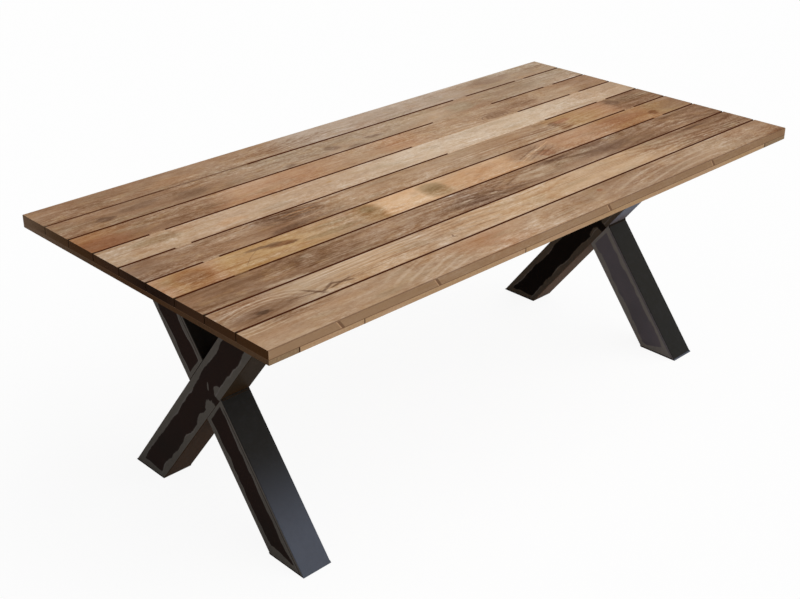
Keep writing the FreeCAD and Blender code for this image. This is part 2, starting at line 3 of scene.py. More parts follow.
import bpy
import math
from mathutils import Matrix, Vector


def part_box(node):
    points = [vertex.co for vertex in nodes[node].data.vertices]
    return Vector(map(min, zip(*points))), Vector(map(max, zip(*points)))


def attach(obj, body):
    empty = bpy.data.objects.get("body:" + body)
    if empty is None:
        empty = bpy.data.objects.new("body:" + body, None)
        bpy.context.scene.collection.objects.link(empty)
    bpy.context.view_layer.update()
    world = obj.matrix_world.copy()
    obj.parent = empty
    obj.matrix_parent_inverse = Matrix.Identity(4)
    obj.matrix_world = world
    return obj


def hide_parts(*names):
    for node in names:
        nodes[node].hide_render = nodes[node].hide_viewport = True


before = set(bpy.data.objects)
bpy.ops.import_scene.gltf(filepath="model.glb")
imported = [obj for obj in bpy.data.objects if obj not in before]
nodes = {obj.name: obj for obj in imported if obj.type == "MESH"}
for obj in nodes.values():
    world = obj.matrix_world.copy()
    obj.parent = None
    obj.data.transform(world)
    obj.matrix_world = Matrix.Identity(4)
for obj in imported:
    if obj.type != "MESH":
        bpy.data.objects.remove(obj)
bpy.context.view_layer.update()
bpy.ops.object.select_all(action="DESELECT")

# --- Planks of the top --------------------------------------------------------------------
# Nine rows of oiled hardwood from mixed boards, so each row has its own run of tones, its
# own figure and its own knots and stains. Sawn, planed and bevelled by hand, then screwed
# from below. The ends are cut across the grain and soak up the oil, which leaves them dark;
# painted shade makes them darker still, and painted shade darkens the open gaps between rows.


class Wire:
    """A socket in a node tree; arithmetic on it adds Math nodes."""

    def __init__(self, tree, socket=None):
        self.tree = tree
        self.socket = socket

    def node(self, kind, settings=None, values=None, output=0):
        """Add a node: its settings first, then the values or links of its sockets."""
        made = self.tree.nodes.new("ShaderNode" + kind)
        settings = dict(settings or {})
        stops = settings.pop("stops", None)
        for key, value in settings.items():
            setattr(made, key, value)
        if stops:
            while len(made.color_ramp.elements) < len(stops):
                made.color_ramp.elements.new(1.0)
            for element, (place, colour) in zip(made.color_ramp.elements, stops):
                element.position = place
                element.color = colour
        for key, value in (values or {}).items():
            if isinstance(value, Wire):
                self.tree.links.new(value.socket, made.inputs[key])
            else:
                made.inputs[key].default_value = value
        return Wire(self.tree, made.outputs[output])

    def math(self, operation, first, second=0.0):
        return self.node("Math", {"operation": operation}, {0: first, 1: second})

    def __add__(self, other):
        return self.math("ADD", self, other)

    def __radd__(self, other):
        return self.math("ADD", other, self)

    def __sub__(self, other):
        return self.math("SUBTRACT", self, other)

    def __rsub__(self, other):
        return self.math("SUBTRACT", other, self)

    def __mul__(self, other):
        return self.math("MULTIPLY", self, other)

    def __rmul__(self, other):
        return self.math("MULTIPLY", other, self)

    def __truediv__(self, other):
        return self.math("DIVIDE", self, other)

    def __pow__(self, other):
        return self.math("POWER", self, other)

    def __abs__(self):
        return self.math("ABSOLUTE", self)

    def root(self):
        return self.math("SQRT", self)

    def larger(self, other):
        return self.math("MAXIMUM", self, other)

    def sine(self):
        return self.math("SINE", self)

    def ramp(self, low, high, start=0.0, end=1.0):
        """Ease from start to end as the value goes from low to high."""
        return self.node("MapRange", {"interpolation_type": "SMOOTHSTEP"}, {
            "Value": self, "From Min": low, "From Max": high, "To Min": start, "To Max": end})

    def blend(self, first, second):
        """Mix two colours by this value."""
        return self.node("Mix", {"data_type": "RGBA"}, {0: self, 6: first, 7: second}, output=2)


def colour(code):
    """Turn a colour written as six hex digits into linear numbers."""
    parts = [int(code[place:place + 2], 16) / 255 for place in (0, 2, 4)]
    linear = [part / 12.92 if part < 0.04045 else ((part + 0.055) / 1.055) ** 2.4 for part in parts]
    return (*linear, 1.0)


def start_material(name, roughness, specular):
    """Make a material; return it, its shader node and a wire to build from."""
    material = bpy.data.materials.new(name)
    material.use_nodes = True
    shader = material.node_tree.nodes["Principled BSDF"]
    shader.inputs["Roughness"].default_value = roughness
    shader.inputs["Specular IOR Level"].default_value = specular
    return material, shader, Wire(material.node_tree)


def feed(shader, **wires):
    """Lead wires into the shader's sockets; an underscore stands for a space."""
    for name, wire in wires.items():
        wire.tree.links.new(wire.socket, shader.inputs[name.replace("_", " ")])


def axes(wire):
    """The object's own coordinates, in metres, as three wires."""
    point = wire.node("TexCoord", output=3)
    return [point.node("SeparateXYZ", values={0: point}, output=index) for index in range(3)]


def facing(wire):
    """The surface's direction as three wires."""
    normal = wire.node("NewGeometry", output=1)
    return [normal.node("SeparateXYZ", values={0: normal}, output=index) for index in range(3)]


def noise(x, y, z, scale, seed, detail=2.0, rough=0.5):
    """Noise from 0 to 1; scale gives how many grains there are to the metre along each axis."""
    point = x.node("CombineXYZ", values={0: x * scale[0] + seed, 1: y * scale[1], 2: z * scale[2]})
    return point.node("TexNoise", values={0: point, "Scale": 1.0, "Detail": detail, "Roughness": rough})


def emboss(height, strength, distance):
    """A Bump node that raises the surface by a wire."""
    return height.node("Bump", values={"Strength": strength, "Distance": distance, "Height": height})


def shade_along(place, stops):
    """Blend named tones along a wire that goes from 0 to 1."""
    stops = [(stop, colour(TONES[name])) for stop, name in stops]
    return place.node("ValToRGB", {"stops": stops}, {0: place})


def lay(surface, mask, tone, strength=1.0):
    """Lay a named tone over a surface where the mask is 1."""
    return (mask * strength).blend(surface, colour(TONES[tone]))


def deepen(surface, power):
    """Darken a colour where the power is over 1 and lighten it where it is under 1."""
    return power.node("Gamma", values={0: surface, 1: power})


def looks_along(side):
    """1 where the surface faces along an axis, either way."""
    return abs(side).ramp(0.75, 0.9)


TONES = {
    "cream": "cfb79d",
    "oat": "c5a482",
    "straw": "bfa286",
    "sand": "b4997e",
    "tan": "ae8f72",
    "fawn": "a08166",
    "hazel": "947358",
    "cocoa": "86664c",
    "umber": "674a36",
    "bark": "3a2414",
    "sienna": "7d5230",
    "rust": "966547",
    "clay": "a17650",
    "gold": "ab855b",
    "honey": "b99569",
    "peach": "c8a07b",
    "rose": "b38b6b",
    "olive": "988a70",
    "moss": "8a7250",
    "grey": "a68e76",
    "ash": "b5a08d",
    "khaki": "9f7f5b",
    "amber": "996b42",
    "apricot": "d8b28c",
    "taupe": "8a6e59",
    "drab": "745d4a",
    "loam": "563f2a",
    "walnut": "462b12",
    "soot": "1d0a00",
    "nut": "86694d",
    "sepia": "481e04",
    "peat": "2a1a0d",
    "stone": "826a50",
    "flax": "90775a",
}
# tones of the planks' dark ends, oiled end grain with painted shade over it, from the front of the table
# (0) to its back (1)
PLANK_ENDS = [(0.0, "walnut"), (0.3, "bark"), (0.37, "soot"), (0.45, "soot"), (0.58, "bark"),
              (0.74, "walnut"), (0.86, "loam"), (1.0, "drab")]
WOOD_GLOSS = 0.03
GRAIN_DEPTH = 0.0004
# how far the noises of one row are moved from those of the next
ROW_SHIFT = 7.3
MIDDLE_ROW = 5
PLANK_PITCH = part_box("plank_row_5")[1].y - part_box("plank_row_4")[1].y
HALF_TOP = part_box("plank_row_5")[1].x
TOP_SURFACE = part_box("plank_row_5")[1].z
LAYER_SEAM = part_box("plank_row_5")[0].z
FRONT_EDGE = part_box("front_plank_length_1")[0].y
SCARF_RUN = 0.016
SCARFS = [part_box(f"front_plank_length_{length}")[1].x - SCARF_RUN for length in range(1, 5)]
# every slip: its middle and length along the table and the gap it fills; a gap has the number
# of the row in front of it
SLIP_PLACE = 0.815
SLIP_LENGTH = 0.045
LEFT_SLIP_GAPS = (4, 5, 6)
RIGHT_SLIP_GAPS = (3, 4, 5, 6, 7)
SLIPS = [(-SLIP_PLACE, SLIP_LENGTH, gap) for gap in LEFT_SLIP_GAPS]
SLIPS += [(SLIP_PLACE, SLIP_LENGTH, gap) for gap in RIGHT_SLIP_GAPS]
for gap in (5, 6, 7, 8):
    low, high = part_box(f"long_slip_gap_{gap}")
    SLIPS.append(((low.x + high.x) / 2, high.x - low.x, gap))


def draw_smudge(x, y, ragged, smudge):
    """A stain with a ragged rim: 1 at its middle and 0 outside."""
    middle_x, middle_y, long, wide = smudge
    along, across = (x - middle_x) / long, (y - middle_y) / wide
    reach = (along * along + across * across).root() + (ragged - 0.5) * 1.5
    return reach.ramp(1.35, 0.6)


def draw_arcs(x, y, drift, arcs):
    """Thin nested arcs of grain round a far centre, seen only inside an oval."""
    centre_x, centre_y, stretch, spacing, oval_x, oval_y, long, wide = arcs
    along, across = (x - centre_x) / stretch, y - centre_y
    reach = (along * along + across * across).root() + (drift - 0.5) * 0.016
    line = (reach * (2 * math.pi / spacing)).sine().ramp(0.1, 1.0)
    along, across = (x - oval_x) / long, (y - oval_y) / wide
    return line * (along * along + across * across + (drift - 0.5) * 0.8).ramp(1.1, 0.4)


def draw_vein(x, y, drift, vein):
    """One crooked line of grain from start to end."""
    start, end, across, slope, curve, width = vein
    along = x - start
    line = y - across - along * slope - along * along * curve + (drift - 0.5) * 0.018
    return abs(line).ramp(width, width * 0.3) * x.ramp(start, start + 0.02) * x.ramp(end, end - 0.02)


# stretches where the painted shade in a gap differs: middle, length, gap and the share that is missing, or
# added where it is below 0
UNEVEN_GAP_SHADE = [(-0.82, 0.36, 8, 0.15), (-0.5, 0.28, 8, 0.5), (0.055, 0.83, 8, -0.6),
                (0.798, 0.042, 8, 0.8), (-0.81, 0.04, 3, 0.4)]
# how far from the middle of a gap its painted shade is full, and where it ends
GAP_SHADE_FULL = 0.0036
GAP_SHADE_END = 0.0052
# half the width of the strip round a gap in which a slip takes the painted shade away
GAP_ZONE = 0.015
# the outer planks' own long edges, at the table's rim, are not gaps
RIM_START = 0.46
RIM_END = 0.47


def paint_ends(y, speck, stops):
    """End grain dark with oil and with painted shade: tones from the front of the table to its back, and
    specks.
    """
    place = y / (-2 * FRONT_EDGE) + 0.5
    return lay(shade_along(place, stops), speck, "peat", 0.25)


def find_gap_shade(x, y, side_y, row):
    """1 along the edges next to an open gap, painted shade where the light does not reach down, and 0 at
    the slips.
    """
    from_gap = PLANK_PITCH / 2 - abs(y - (row - MIDDLE_ROW) * PLANK_PITCH)
    bevel = from_gap.ramp(GAP_SHADE_END, GAP_SHADE_FULL) * 0.6
    gap = abs(side_y).ramp(0.3, 0.55).larger(bevel) * abs(y).ramp(RIM_END, RIM_START)
    for middle, length, number, shade_gone in [(*slip, 1.0) for slip in SLIPS] + UNEVEN_GAP_SHADE:
        if number in (row - 1, row):
            stretch = abs(x - middle).ramp(length / 2 + 0.002, length / 2 - 0.001) * shade_gone
            gap_y = (number + 0.5 - MIDDLE_ROW) * PLANK_PITCH
            gap = gap * (1 - stretch * abs(y - gap_y).ramp(GAP_ZONE + 0.005, GAP_ZONE))
    return gap


def draw_seam(side_z, z, far, near):
    """A line on the upright faces at the joint of the two layers, fading in from far to near."""
    return abs(side_z).ramp(0.7, 0.4) * z.ramp(LAYER_SEAM + far, LAYER_SEAM + near)


def mark_front_edge(surface, x, y, z, side_y, side_z):
    """Brown the front edge, partly as painted shade; give each scarf joint a painted shadow and a painted
    highlight; darken the arris.
    """
    # the front face is browned: partly the wood's tone, partly painted shade for a face that gets less
    # light than the top
    front = side_y.ramp(-0.7, -0.9)
    surface = lay(surface, front, "nut", 0.75)
    for scarf in SCARFS:
        past = x - scarf - (TOP_SURFACE - z) * (SCARF_RUN / (TOP_SURFACE - LAYER_SEAM))
        # a painted shadow just past each scarf joint and a painted highlight just before it, as on an open
        # joint; the thin line on the top is the joint itself
        dark = past.ramp(-0.0005, 0.0005) * past.ramp(0.009, 0.007)
        pale = past.ramp(-0.0038, -0.003) * past.ramp(0.0, -0.001)
        surface = lay(surface, front * dark, "umber", 0.8)
        surface = lay(surface, front * pale, "peach", 0.4)
        top_line = side_z.ramp(0.7, 0.9) * abs(x - scarf).ramp(0.0012, 0.0006)
        surface = lay(surface, top_line, "umber", 0.25)
    beside = (y - FRONT_EDGE).ramp(0.0036, 0.0024) * side_z.ramp(0.8, 0.9)
    arris = beside.larger(abs(side_y).ramp(0.3, 0.5) * abs(side_y).ramp(0.9, 0.8))
    return lay(surface, arris, "umber", 0.75)


def plank_material(row, figure, runs, smudges, arcs=(), veins=(), knots=()):
    """Oiled hardwood of one row: runs of tones along it, then its arcs, stains, veins and knots."""
    material, shader, wire = start_material(f"wood_row_{row}", roughness=0.5, specular=WOOD_GLOSS)
    x, y, z = axes(wire)
    side_x, side_y, side_z = facing(wire)

    def grain(along, across, shift, detail=2.0, rough=0.5):
        """Noise drawn out along the plank; shift keeps one noise apart from the next."""
        return noise(x, y, z, (along, across, across), row * ROW_SHIFT + shift, detail, rough)

    cloud = grain(3.5, 13, 40)
    drift = grain(5, 16, 3)
    mottle = grain(16, 46, 0, 4.0, 0.65)
    ragged = grain(30, 110, 17, 3.0, 0.6)
    fleck = grain(95, 260, 51, 3.0, 0.6)
    fibre = grain(9, 430, 11, 3.0, 0.62)
    streak = grain(3.2, 100, 23)
    pores = grain(42, 900, 31, 1.0).ramp(0.62, 0.72)

    place = (x + (cloud - 0.5) * 0.12) / (2 * HALF_TOP) + 0.5
    surface = shade_along(place, [(run_x / (2 * HALF_TOP) + 0.5, tone) for run_x, tone in runs])
    warm = grain(7, 22, 71)
    surface = lay(surface, warm.ramp(0.5, 0.8), "rose", 0.3)
    surface = lay(surface, warm.ramp(0.5, 0.2), "olive", 0.3)
    tint = grain(22, 48, 131, 3.0, 0.6)
    surface = lay(surface, tint.ramp(0.5, 0.7), "honey", 0.22)
    surface = lay(surface, tint.ramp(0.5, 0.3), "taupe", 0.22)

    # the stains follow the wandering grain, and the knots stay round
    bent_x = x + (grain(9, 26, 83, 3.0, 0.6) - 0.5) * 0.09
    bent_y = y + (grain(7, 20, 97, 3.0, 0.6) - 0.5) * 0.034
    for *arc, tone, strength in arcs:
        surface = lay(surface, draw_arcs(x, y, drift, arc), tone, strength)
    for *smudge, tone, strength in smudges:
        mask = draw_smudge(bent_x, bent_y, ragged * 0.6 + mottle * 0.4, smudge)
        surface = lay(surface, mask, tone, strength)
    for *vein, tone, strength in veins:
        surface = lay(surface, draw_vein(x, y, drift, vein), tone, strength)
    for *knot, tone, strength in knots:
        mask = draw_smudge(x, y, 0.5 + (ragged - 0.5) * 0.35 + (mottle - 0.5) * 0.5, knot)
        surface = lay(surface, mask, tone, strength)

    busy = grain(2.6, 9, 61, 1.0).ramp(0.35, 0.65, 0.45, 1.25)
    line = streak.ramp(0.58, 0.7) * 0.22 - streak.ramp(0.42, 0.3) * 0.16
    waves = (grain(1.7, 8, 113, 1.0) * 62 + y * 190 + mottle * 2.2).sine() * 0.5 + 0.5
    fine = (mottle - 0.5) * 0.75 + (fleck - 0.5) * 0.95 + (ragged - 0.5) * 0.4 + (fibre - 0.5) * 0.4
    power = busy * (fine + line) + (cloud - 0.5) * 0.6 + pores * 0.22
    surface = deepen(surface, power + (waves ** 2 - 0.35) * busy * figure + 1.0)

    if row == 1:
        surface = mark_front_edge(surface, x, y, z, side_y, side_z)
    surface = lay(surface, draw_seam(side_z, z, 0.0014, 0.0006), "umber", 0.9)
    # painted shade down the open gaps between the rows, darker near the plank ends
    near_end = abs(x).ramp(HALF_TOP - 0.012, HALF_TOP - 0.004)
    gap_shade_tone = near_end.blend(colour(TONES["sepia"]), colour(TONES["peat"]))
    surface = find_gap_shade(x, y, side_y, row).blend(surface, gap_shade_tone)
    cut = looks_along(side_x)
    speck = grain(420, 420, 5).ramp(0.35, 0.75)
    surface = cut.blend(surface, paint_ends(y, speck, PLANK_ENDS))

    height = fibre * 0.5 - pores * 0.8 + ragged * 0.4 + speck * cut
    roughness = 0.5 + fibre * 0.16 + pores * 0.12 + cut * 0.15
    feed(shader, Base_Color=surface, Roughness=roughness, Normal=emboss(height, 0.3, GRAIN_DEPTH))
    return material


def dress(piece, material):
    """Give a piece one material."""
    piece.data.materials.clear()
    piece.data.materials.append(material)


# the looks of the rows, from the back one to the front one, in metres
# figure: how strongly the wavy grain shows
# runs: place along the row and the tone there
# smudges and knots: middle along and across, half length, half width, tone, strength
# arcs: centre along and across, stretch, spacing, middle of the oval that shows them along
# and across, its half length and half width, tone, strength
# veins: start, end, place across at the start, slope, curve, half width, tone, strength
ROWS = {
    9: dict(
        figure=0.1,
        runs=[(-1.0, "hazel"), (-0.72, "hazel"), (-0.5, "fawn"), (-0.25, "fawn"), (-0.12, "ash"),
              (0.05, "ash"), (0.35, "ash"), (0.5, "ash"), (0.65, "grey"), (0.75, "grey"), (0.84, "grey"),
              (1.0, "grey")],
        smudges=[(-0.87, 0.44, 0.07, 0.02, "cocoa", 0.6), (-0.37, 0.46, 0.03, 0.018, "hazel", 0.6),
                 (0.72, 0.455, 0.08, 0.03, "taupe", 0.65), (-0.6, 0.425, 0.08, 0.02, "clay", 0.4)],
        arcs=[(-0.345, 0.478, 5, 0.01, -0.2, 0.445, 0.18, 0.036, "cocoa", 0.5)],
        veins=[(-0.36, 0.0, 0.466, -0.09, 0.0, 0.0016, "cocoa", 0.6)],
    ),
    8: dict(
        figure=0.08,
        runs=[(-1.0, "hazel"), (-0.65, "hazel"), (-0.5, "fawn"), (-0.3, "grey"), (0.1, "grey"),
              (0.3, "sand"), (0.48, "fawn"), (0.7, "grey"), (1.0, "grey")],
        smudges=[(-0.72, 0.333, 0.19, 0.026, "cocoa", 0.5), (-0.865, 0.325, 0.026, 0.016, "umber", 0.85),
                 (-0.76, 0.34, 0.06, 0.02, "umber", 0.6), (-0.6, 0.32, 0.06, 0.022, "umber", 0.5),
                 (-0.29, 0.296, 0.024, 0.01, "umber", 0.5), (-0.106, 0.322, 0.022, 0.024, "umber", 0.5),
                 (-0.03, 0.29, 0.03, 0.012, "umber", 0.45), (0.05, 0.318, 0.03, 0.01, "umber", 0.55),
                 (0.45, 0.33, 0.06, 0.03, "olive", 0.4)],
    ),
    7: dict(
        figure=0.12,
        runs=[(-1.0, "clay"), (-0.94, "clay"), (-0.82, "hazel"), (-0.62, "hazel"), (-0.53, "rose"),
              (-0.3, "rose"), (-0.08, "tan"), (0.06, "rose"), (0.2, "tan"), (0.42, "tan"), (0.55, "fawn"),
              (0.64, "fawn"), (0.72, "sand"), (0.83, "tan"), (0.88, "hazel"), (1.0, "hazel")],
        smudges=[(-0.72, 0.2, 0.05, 0.016, "cocoa", 0.6), (-0.63, 0.215, 0.04, 0.014, "cocoa", 0.6),
                 (0.46, 0.196, 0.046, 0.02, "cocoa", 0.85), (0.6, 0.215, 0.06, 0.02, "cocoa", 0.5),
                 (0.93, 0.23, 0.05, 0.014, "cocoa", 0.5), (-0.95, 0.2, 0.08, 0.04, "rust", 0.7),
                 (-0.92, 0.2, 0.1, 0.03, "umber", 0.2)],
        arcs=[(0.46, 0.188, 2.4, 0.008, 0.46, 0.2, 0.08, 0.03, "umber", 0.6)],
    ),
    6: dict(
        figure=0.06,
        runs=[(-1.0, "sand"), (-0.75, "straw"), (-0.3, "straw"), (0.0, "cream"), (0.6, "cream"),
              (0.85, "straw"), (1.0, "sand")],
        smudges=[(-0.85, 0.13, 0.07, 0.02, "moss", 0.4), (-0.65, 0.1, 0.05, 0.016, "peach", 0.5),
                 (-0.5, 0.092, 0.06, 0.016, "grey", 0.5), (-0.28, 0.13, 0.01, 0.005, "honey", 0.8),
                 (0.3, 0.142, 0.12, 0.014, "sand", 0.4), (-0.1, 0.08, 0.08, 0.012, "sand", 0.4)],
    ),
    5: dict(
        figure=0.2,
        runs=[(-1.0, "taupe"), (-0.88, "hazel"), (-0.68, "fawn"), (-0.56, "hazel"), (-0.43, "fawn"),
              (-0.35, "tan"), (0.0, "tan"), (0.14, "sand"), (0.3, "tan"), (0.48, "tan"), (0.58, "gold"),
              (0.77, "rose"), (0.83, "hazel"), (0.9, "cocoa"), (1.0, "cocoa")],
        smudges=[(-0.95, -0.025, 0.06, 0.02, "cocoa", 0.55), (-0.5, 0.022, 0.09, 0.028, "umber", 0.7),
                 (-0.585, 0.042, 0.035, 0.018, "umber", 0.6), (-0.49, 0.027, 0.06, 0.005, "clay", 0.6),
                 (-0.47, 0.011, 0.06, 0.004, "clay", 0.5), (-0.5, -0.034, 0.13, 0.01, "umber", 0.4),
                 (-0.56, -0.044, 0.07, 0.012, "umber", 0.68), (0.43, 0.0, 0.09, 0.012, "hazel", 0.6),
                 (0.535, -0.002, 0.024, 0.03, "sienna", 0.6), (0.565, 0.012, 0.034, 0.011, "rust", 0.75),
                 (0.54, -0.034, 0.034, 0.012, "sienna", 0.65), (0.522, 0.01, 0.016, 0.012, "umber", 0.55),
                 (0.81, 0.02, 0.026, 0.03, "umber", 0.65), (0.67, 0.0, 0.07, 0.02, "gold", 0.5)],
        arcs=[(-0.5, 0.018, 3.6, 0.012, -0.51, 0.01, 0.11, 0.044, "bark", 0.28),
              (0.3, 0.1, 9, 0.01, 0.25, -0.01, 0.28, 0.04, "hazel", 0.4)],
        veins=[(-0.87, -0.66, 0.05, -0.62, 2.0, 0.0018, "cocoa", 0.8),
               (0.3, 0.56, -0.012, 0.02, 0.0, 0.002, "cocoa", 0.6)],
    ),
    4: dict(
        figure=0.12,
        runs=[(-1.0, "rose"), (-0.95, "gold"), (-0.85, "rose"), (-0.79, "honey"), (-0.62, "honey"),
              (-0.42, "tan"), (-0.33, "gold"), (-0.3, "apricot"), (-0.17, "apricot"), (-0.05, "peach"),
              (0.18, "peach"), (0.3, "fawn"), (0.4, "rose"), (0.56, "rose"), (0.66, "clay"), (0.82, "clay"),
              (0.88, "khaki"), (1.0, "hazel")],
        smudges=[(-0.64, -0.1, 0.04, 0.015, "sienna", 0.65), (-0.66, -0.142, 0.09, 0.012, "clay", 0.5),
                 (-0.69, -0.088, 0.04, 0.006, "umber", 0.7), (-0.62, -0.108, 0.03, 0.008, "umber", 0.7),
                 (-0.5, -0.128, 0.1, 0.012, "moss", 0.5), (-0.46, -0.09, 0.08, 0.01, "moss", 0.45),
                 (0.27, -0.11, 0.075, 0.045, "hazel", 0.65), (0.32, -0.135, 0.034, 0.02, "rust", 0.6),
                 (0.84, -0.13, 0.024, 0.013, "sienna", 0.95), (0.7, -0.1, 0.1, 0.03, "rust", 0.5),
                 (0.92, -0.1, 0.05, 0.02, "gold", 0.5), (0.95, -0.12, 0.06, 0.03, "cocoa", 0.4)],
        veins=[(-0.79, -0.7, -0.16, 1.1, -3.0, 0.0018, "cocoa", 0.6),
               (0.22, 0.37, -0.15, 0.32, 0.6, 0.005, "umber", 0.5),
               (0.2, 0.34, -0.13, 0.42, 0.0, 0.004, "umber", 0.45),
               (0.26, 0.38, -0.15, 0.34, 0.0, 0.004, "umber", 0.4),
               (0.2, 0.36, -0.142, 0.36, 0.3, 0.003, "peach", 0.6),
               (0.24, 0.4, -0.118, 0.3, 0.0, 0.003, "apricot", 0.5)],
        knots=[(-0.902, -0.106, 0.052, 0.05, "amber", 0.95), (-0.905, -0.108, 0.04, 0.03, "hazel", 0.5),
               (-0.655, -0.093, 0.022, 0.012, "umber", 0.6), (-0.625, -0.105, 0.03, 0.01, "sienna", 0.6),
               (-0.35, -0.105, 0.036, 0.05, "khaki", 0.75), (-0.345, -0.09, 0.022, 0.02, "moss", 0.6),
               (-0.12, -0.125, 0.044, 0.036, "khaki", 0.9), (-0.12, -0.093, 0.042, 0.03, "moss", 0.65)],
    ),
    3: dict(
        figure=0.2,
        runs=[(-1.0, "cocoa"), (-0.95, "cocoa"), (-0.7, "cocoa"), (-0.4, "fawn"), (-0.2, "hazel"),
              (-0.1, "taupe"), (0.0, "hazel"), (0.15, "fawn"), (0.35, "fawn"), (0.45, "taupe"),
              (0.6, "cocoa"), (0.78, "hazel"), (0.9, "cocoa"), (1.0, "cocoa")],
        smudges=[(-0.76, -0.268, 0.06, 0.007, "sand", 0.8), (-0.12, -0.235, 0.11, 0.026, "umber", 0.45),
                 (-0.11, -0.232, 0.024, 0.006, "sand", 0.7), (-0.04, -0.236, 0.018, 0.005, "sand", 0.6),
                 (0.17, -0.222, 0.09, 0.032, "sand", 0.85), (0.45, -0.235, 0.12, 0.026, "umber", 0.6),
                 (0.29, -0.187, 0.08, 0.012, "umber", 0.6), (0.02, -0.255, 0.07, 0.012, "umber", 0.5),
                 (-0.6, -0.22, 0.06, 0.02, "cocoa", 0.5)],
        arcs=[(0.18, -0.225, 5, 0.012, 0.1, -0.225, 0.2, 0.05, "umber", 0.35),
              (-0.6, -0.32, 7, 0.009, -0.6, -0.225, 0.14, 0.04, "umber", 0.5),
              (-0.1, -0.2, 6, 0.011, -0.1, -0.235, 0.12, 0.03, "umber", 0.4)],
        veins=[(0.24, 0.5, -0.178, -0.26, 0.0, 0.012, "umber", 0.5)],
    ),
    2: dict(
        figure=0.26,
        runs=[(-1.0, "fawn"), (-0.9, "hazel"), (-0.76, "sand"), (-0.55, "oat"), (-0.35, "straw"),
              (-0.15, "oat"), (0.3, "oat"), (0.45, "oat"), (0.6, "tan"), (0.72, "hazel"), (0.88, "cocoa"),
              (1.0, "cocoa")],
        smudges=[(-0.89, -0.352, 0.11, 0.026, "cocoa", 0.85), (-0.93, -0.345, 0.05, 0.014, "taupe", 0.6),
                 (-0.86, -0.358, 0.06, 0.014, "umber", 0.2), (-0.897, -0.356, 0.014, 0.01, "bark", 0.65),
                 (-0.91, -0.347, 0.01, 0.005, "umber", 0.7), (-0.88, -0.362, 0.014, 0.004, "umber", 0.7),
                 (-0.92, -0.361, 0.014, 0.003, "umber", 0.7), (-0.306, -0.356, 0.004, 0.01, "umber", 0.8),
                 (0.8, -0.3, 0.065, 0.005, "umber", 0.8), (0.72, -0.295, 0.05, 0.007, "cocoa", 0.6),
                 (0.9, -0.33, 0.09, 0.03, "cocoa", 0.5)],
        arcs=[(-0.9, -0.368, 2.2, 0.012, -0.88, -0.328, 0.13, 0.036, "cream", 0.55),
              (-0.6, -0.43, 5, 0.012, -0.55, -0.305, 0.24, 0.03, "cream", 0.7),
              (-0.35, -0.41, 7, 0.014, -0.4, -0.33, 0.38, 0.05, "hazel", 0.4),
              (0.5, -0.36, 30, 0.007, 0.38, -0.325, 0.3, 0.02, "hazel", 0.45)],
        veins=[(-0.84, -0.73, -0.352, -0.16, 0.2, 0.004, "umber", 0.6),
               (-0.78, -0.724, -0.328, -1.1, 0.0, 0.01, "umber", 0.8),
               (-0.755, -0.68, -0.379, 0.45, 0.0, 0.006, "umber", 0.7),
               (-0.71, -0.635, -0.352, -0.26, 0.0, 0.005, "umber", 0.75),
               (-0.72, -0.63, -0.371, 0.2, 0.0, 0.004, "umber", 0.65),
               (-0.7, -0.1, -0.368, 0.16, -0.26, 0.0016, "hazel", 0.6)],
    ),
    1: dict(
        figure=0.12,
        runs=[(-1.0, "tan"), (-0.85, "tan"), (-0.7, "tan"), (-0.45, "tan"), (-0.25, "rose"),
              (-0.08, "straw"), (0.14, "tan"), (0.25, "fawn"), (0.45, "fawn"), (0.7, "tan"), (0.92, "fawn"),
              (1.0, "hazel")],
        smudges=[(-0.86, -0.405, 0.05, 0.01, "cocoa", 0.6), (-0.8, -0.412, 0.09, 0.01, "hazel", 0.5),
                 (0.1, -0.43, 0.03, 0.032, "hazel", 0.4), (0.19, -0.42, 0.012, 0.006, "rust", 0.7)],
        arcs=[(-0.15, -0.76, 1.7, 0.022, -0.47, -0.45, 0.16, 0.055, "cream", 0.36),
              (0.6, -0.8, 1.8, 0.026, 0.5, -0.45, 0.34, 0.055, "cream", 0.35),
              (-0.95, -0.36, 3, 0.012, -0.93, -0.412, 0.08, 0.022, "cream", 0.6)],
    ),
}
for row, look in ROWS.items():
    wood = plank_material(row, **look)
    beginning = f"plank_row_{row}" if row > 1 else "front_plank"
    for node in nodes:
        if node.startswith(beginning):
            dress(nodes[node], wood)

# --- Slips ------------------------------------------------------------------------------------
# Thin strips of the same hardwood, glued between the rows and planed nearly flush. Each was
# picked to go with the two planks beside it.

SLIP_TONES = [(3, "hazel"), (4, "fawn"), (5, "tan"), (6, "straw"), (7, "sand"), (8, "grey")]
FIRST_GAP = SLIP_TONES[0][0]
LAST_GAP = SLIP_TONES[-1][0]


def share_of_gaps(gap):
    """How far a gap is on the way from the first one with a slip (0) to the last one (1)."""
    return (gap - FIRST_GAP) / (LAST_GAP - FIRST_GAP)


slip_wood, shader, wire = start_material("wood_slips", roughness=0.6, specular=WOOD_GLOSS)
x, y, z = axes(wire)
place = share_of_gaps(y / PLANK_PITCH + (MIDDLE_ROW - 0.5))
surface = shade_along(place, [(share_of_gaps(gap), tone) for gap, tone in SLIP_TONES])
fibre = noise(x, y, z, (20, 500, 500), seed=3.0, detail=3.0)
worn = noise(x, y, z, (45, 45, 45), seed=8.0).ramp(0.62, 0.66)
surface = lay(surface, fibre, "hazel", 0.6)
surface = lay(surface, worn, "umber", 0.7)
feed(shader, Base_Color=surface, Normal=emboss(fibre, 0.3, GRAIN_DEPTH))
for node in nodes:
    if "slip" in node:
        dress(nodes[node], slip_wood)

# --- Battens of the lower layer ---------------------------------------------------------------
# Planed offcuts of the same wood, oiled once. Each is butted to the next, and the joints
# show as fine dark lines on the edge of the top.

